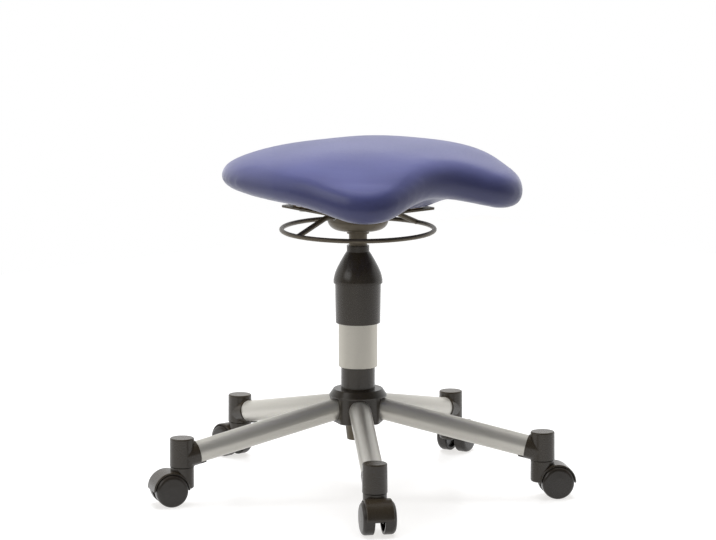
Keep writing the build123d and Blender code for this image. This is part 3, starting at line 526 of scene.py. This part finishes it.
# %% [markdown]
# ## The seat
# Foam under a stretched cover has no hard edge anywhere. The solid gives the main form. A copy of it
# is remeshed into even quads, because the next steps move every point by its neighbours, and that needs
# points that are spread evenly. A few rounds of smoothing take away the steps that the remesh leaves.

# %% A copy of the solid in even quads
MERGE_DISTANCE = 0.00002
SEAT_VOXEL = 0.0045
SEAT_SMOOTHINGS = 3
SMOOTH_FACTOR = 0.5


def copy_of_node(name, node):
    """A merged copy of a solid's mesh as an object of its own."""
    mesh = frame["nodes"][node].data.copy()
    mesh.name = name
    bm = bmesh.new()
    bm.from_mesh(mesh)
    bmesh.ops.remove_doubles(bm, verts=bm.verts, dist=MERGE_DISTANCE)
    bmesh.ops.recalc_face_normals(bm, faces=bm.faces)
    bm.to_mesh(mesh)
    bm.free()
    piece = bpy.data.objects.new(name, mesh)
    scene.collection.objects.link(piece)
    return piece


def apply_modifiers(piece):
    """Swap the piece's mesh for the one its modifiers make."""
    graph = bpy.context.evaluated_depsgraph_get()
    made = bpy.data.meshes.new_from_object(piece.evaluated_get(graph))
    piece.modifiers.clear()
    piece.data = made


def smooth(mesh, rounds, held=()):
    """Even out the mesh, apart from the vertices that are held."""
    bm = bmesh.new()
    bm.from_mesh(mesh)
    kept = set(held)
    free = [vertex for vertex in bm.verts if vertex.index not in kept]
    for _ in range(rounds):
        bmesh.ops.smooth_vert(
            bm, verts=free, factor=SMOOTH_FACTOR, use_axis_x=True, use_axis_y=True, use_axis_z=True)
    bm.to_mesh(mesh)
    bm.free()


seat = copy_of_node("padded_seat", "seat_cushion")
remesh = seat.modifiers.new("even_quads", "REMESH")
remesh.mode = "VOXEL"
remesh.voxel_size = SEAT_VOXEL
apply_modifiers(seat)
smooth(seat.data, SEAT_SMOOTHINGS)
print("seat quads:", len(seat.data.polygons))

# %% [markdown]
# The cover is pulled tight over the board, so everything near the board is held from here on.

# %% The part that the board holds
HOLD_MARGIN = 0.012
HOLD_RISE = HOLD_MARGIN / 4
board_low, board_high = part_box("seat_board")
UNDERSIDE = board_low[2]


def near_board(point):
    """True for points of the pocket and of the rim that is wrapped round the board."""
    reach = board_high[0] + HOLD_MARGIN
    return max(abs(point.x), abs(point.y)) < reach and point.z < board_high[2] + HOLD_RISE


held = [vertex.index for vertex in seat.data.vertices if near_board(vertex.co)]
print("held points:", len(held))

# %% [markdown]
# ## Soft edges
# The solid's creases show as crisp lines, which foam doesn't have. Many rounds of smoothing round them
# off, but they shrink the seat as well. So how far each point went inwards is measured, evened out over
# its neighbours and given back: the creases go, and the size stays.

# %% Soften the form
SOFTENINGS = 60


def even_out(piece, steps, rounds):
    """Average each point's step with its neighbours' again and again."""
    pairs = [tuple(edge.vertices) for edge in piece.data.edges]
    for _ in range(rounds):
        total = list(steps)
        count = [1] * len(steps)
        for one, other in pairs:
            total[one] += steps[other]
            total[other] += steps[one]
            count[one] += 1
            count[other] += 1
        steps = [part / number for part, number in zip(total, count)]
    return steps


def push_out(piece, steps):
    """Move each point along its normal; all moves are worked out before the first is made."""
    moves = [vertex.normal * step for vertex, step in zip(piece.data.vertices, steps)]
    for vertex, move in zip(piece.data.vertices, moves):
        vertex.co += move


def soften(piece):
    """Round off the form's creases, and give back the size that smoothing takes away."""
    before = [vertex.co.copy() for vertex in piece.data.vertices]
    smooth(piece.data, SOFTENINGS, held)
    pairs = zip(before, piece.data.vertices)
    lost = [(old - vertex.co).dot(vertex.normal) for old, vertex in pairs]
    push_out(piece, even_out(piece, lost, SOFTENINGS))


soften(seat)
print("rounds of softening:", SOFTENINGS)

# %% [markdown]
# ## Lobes that sag
# The two front lobes carry the thighs and reach out beyond the board, so their foam hangs down a little,
# and its top more than its foot. The drop grows from the board outwards and fades to both sides of each
# lobe. A formula for it is easier to steer than a simulation under weight.

# %% Let the front lobes sag
LOBE_HANG = 0.0065
LOBE_SAG = 0.006
LOBE_TURN = radians(34.5)
LOBE_NARROWNESS = 7.0
SAG_START = 0.1
SAG_END = 0.225
SAG_FOOT = 0.475
SAG_HEIGHT = 0.045


def sag(place):
    """How far a point hangs down: not at all over the board, most on top of the front lobes."""
    turn = atan2(abs(place.x), -place.y) - LOBE_TURN
    beside = exp(LOBE_NARROWNESS * (cos(turn) - 1.0))
    outwards = (hypot(place.x, place.y) - SAG_START) / (SAG_END - SAG_START)
    upwards = (place.z - SAG_FOOT) / SAG_HEIGHT
    depth = LOBE_HANG + LOBE_SAG * min(max(upwards, 0.0), 1.0)
    return beside * min(max(outwards, 0.0), 1.0) ** 2 * depth


def let_lobes_sag(piece):
    drops = [sag(vertex.co) for vertex in piece.data.vertices]
    for vertex, drop in zip(piece.data.vertices, drops):
        vertex.co.z -= drop
    return max(drops)


print("largest sag:", round(let_lobes_sag(seat), 4))

# %% [markdown]
# ## Inflate
# The seat is blown up as cloth with air pressure inside, so that it fills out like a real pad. A vertex
# group with full weight keeps the held part where it is. Air pressure also drags the rim inwards and
# creases it, which a stretched cover over foam doesn't do. So only how far each point went outwards is
# kept, evened out over its neighbours and limited to a millimetre, and the seat keeps its size.

# %% Blow up the seat
PRESSURE = 4.0
SWELL_FRAMES = 20
SWELL_EVENING = 30
SWELL_LIMIT = 0.001
BORDER_EVENING = 3


def blow_up(piece):
    """How far each point of the piece goes outwards when it is blown up as cloth."""
    group = piece.vertex_groups.new(name="held")
    group.add(held, 1.0, "REPLACE")
    cloth = piece.modifiers.new("air", "CLOTH")
    cloth.settings.use_pressure = True
    cloth.settings.uniform_pressure_force = PRESSURE
    cloth.settings.effector_weights.gravity = 0.0
    cloth.settings.vertex_group_mass = group.name
    cloth.collision_settings.use_collision = False
    cloth.point_cache.frame_end = SWELL_FRAMES
    for number in range(1, SWELL_FRAMES + 1):
        scene.frame_set(number)
    graph = bpy.context.evaluated_depsgraph_get()
    blown = piece.evaluated_get(graph).data.vertices
    pairs = zip(piece.data.vertices, blown)
    outwards = [(after.co - vertex.co).dot(vertex.normal) for vertex, after in pairs]
    piece.modifiers.clear()
    piece.vertex_groups.clear()
    scene.frame_set(1)
    return outwards


def swell_out(piece):
    steps = even_out(piece, blow_up(piece), SWELL_EVENING)
    steps = [min(max(step, 0.0), SWELL_LIMIT) for step in steps]
    for index in held:
        steps[index] = 0.0
    steps = even_out(piece, steps, BORDER_EVENING)
    push_out(piece, steps)
    return max(steps)


print("largest swell:", round(swell_out(seat), 4))

# %% [markdown]
# ## Pleats
# One round of subdivision hides the last trace of the grid. The underside is kept level with the
# board, where the seat rests on its plate. Just outside the plate the cover is gathered as it is
# pulled under the board, so it gets small pleats there: a ripple round the seat that dies away
# outwards. They are moved points and not relief in the finish, so that the mesh has them too.

# %% Finish the seat
LAST_SMOOTHINGS = 2
PLEAT_COUNT = 46
PLEAT_DEPTH = 0.0006
PLEAT_REACH = 0.022
PLATE_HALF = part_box("seat_plate")[1][0]


def pleat(place, outwards):
    """How far a point of the gathered edge is pushed in or out."""
    beyond = max(abs(place.x), abs(place.y)) - PLATE_HALF
    if outwards.z > 0.0 or not 0.0 < beyond < PLEAT_REACH:
        return 0.0
    fullness = sin(pi * beyond / PLEAT_REACH)
    return PLEAT_DEPTH * fullness * cos(PLEAT_COUNT * atan2(place.y, place.x))


def finish_seat(piece):
    smooth(piece.data, LAST_SMOOTHINGS)
    rounder = piece.modifiers.new("rounder", "SUBSURF")
    rounder.levels = 1
    rounder.render_levels = 1
    apply_modifiers(piece)
    push_out(piece, [pleat(vertex.co, vertex.normal) for vertex in piece.data.vertices])
    for vertex in piece.data.vertices:
        vertex.co.z = max(vertex.co.z, UNDERSIDE)
    piece.data.polygons.foreach_set("use_smooth", [True] * len(piece.data.polygons))
    piece.data.materials.clear()
    piece.data.materials.append(cover)


finish_seat(seat)
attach(seat, "seat_lift")
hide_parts("seat_cushion")
print("seat faces:", len(seat.data.polygons))

# %% [markdown]
# ## Staples
# An upholsterer pulls the cover under the board and staples it down all round. The row of staple backs
# shows as a light broken line along the plate. A dashed line in the cover's colour would look alike from
# afar, but real bars catch the light. Each is a small bar with rounded edges. A ray shot up at the
# seat's underside finds where it lies and which way the cover faces there.

# %% A row of staples round the plate
STAPLE_LENGTH = 0.0098
STAPLE_WIRE = 0.0009
STAPLE_EDGE = STAPLE_WIRE / 4
STAPLE_SPACING = 0.0185
STAPLE_OFFSET = 0.0025
STAPLES_ON_SIDE = 9
PLATE_SIDES = 4
QUARTER_TURN = pi / 2
RAY_START = 0.02
UPWARDS = Vector((0.0, 0.0, 1.0))


def staple_spots():
    """Where the staples go, seen from above, and which way each of them runs."""
    for side in range(PLATE_SIDES):
        turn = Matrix.Rotation(side * QUARTER_TURN, 4, "Z")
        for number in range(STAPLES_ON_SIDE):
            along = (number - (STAPLES_ON_SIDE - 1) / 2) * STAPLE_SPACING
            spot = Vector((along, -PLATE_HALF - STAPLE_OFFSET, 0.0))
            yield turn @ spot, turn @ Vector((1.0, 0.0, 0.0))


def laid_on(place, along, outwards):
    """Frame of a staple: its length as given, as far as the surface lets it, and its back outwards."""
    length = (along - outwards * along.dot(outwards)).normalized()
    axes = Matrix((length, outwards.cross(length), outwards)).transposed()
    return Matrix.Translation(place) @ axes.to_4x4()


def add_staple(bm, frame_of_staple):
    bar = Matrix.Diagonal((STAPLE_LENGTH, STAPLE_WIRE, STAPLE_WIRE, 1.0))
    made = bmesh.ops.create_cube(bm, size=1.0, matrix=frame_of_staple @ bar)
    edges = {edge for corner in made["verts"] for edge in corner.link_edges}
    bmesh.ops.bevel(
        bm, geom=list(edges), offset=STAPLE_EDGE, affect="EDGES", segments=1, profile=0.5, material=-1)


def add_staples(name):
    underside = BVHTree.FromPolygons(
        [vertex.co for vertex in seat.data.vertices], [polygon.vertices for polygon in seat.data.polygons])
    bm = bmesh.new()
    for spot, along in staple_spots():
        start = spot + Vector((0.0, 0.0, UNDERSIDE - RAY_START))
        place, outwards, _, _ = underside.ray_cast(start, UPWARDS)
        add_staple(bm, laid_on(place, along, outwards))
    mesh = bpy.data.meshes.new(name)
    bm.to_mesh(mesh)
    bm.free()
    mesh.materials.append(steel)
    piece = bpy.data.objects.new(name, mesh)
    scene.collection.objects.link(piece)
    return piece


staples = add_staples("cover_staples")
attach(staples, "seat_lift")
print("staples:", PLATE_SIDES * STAPLES_ON_SIDE)
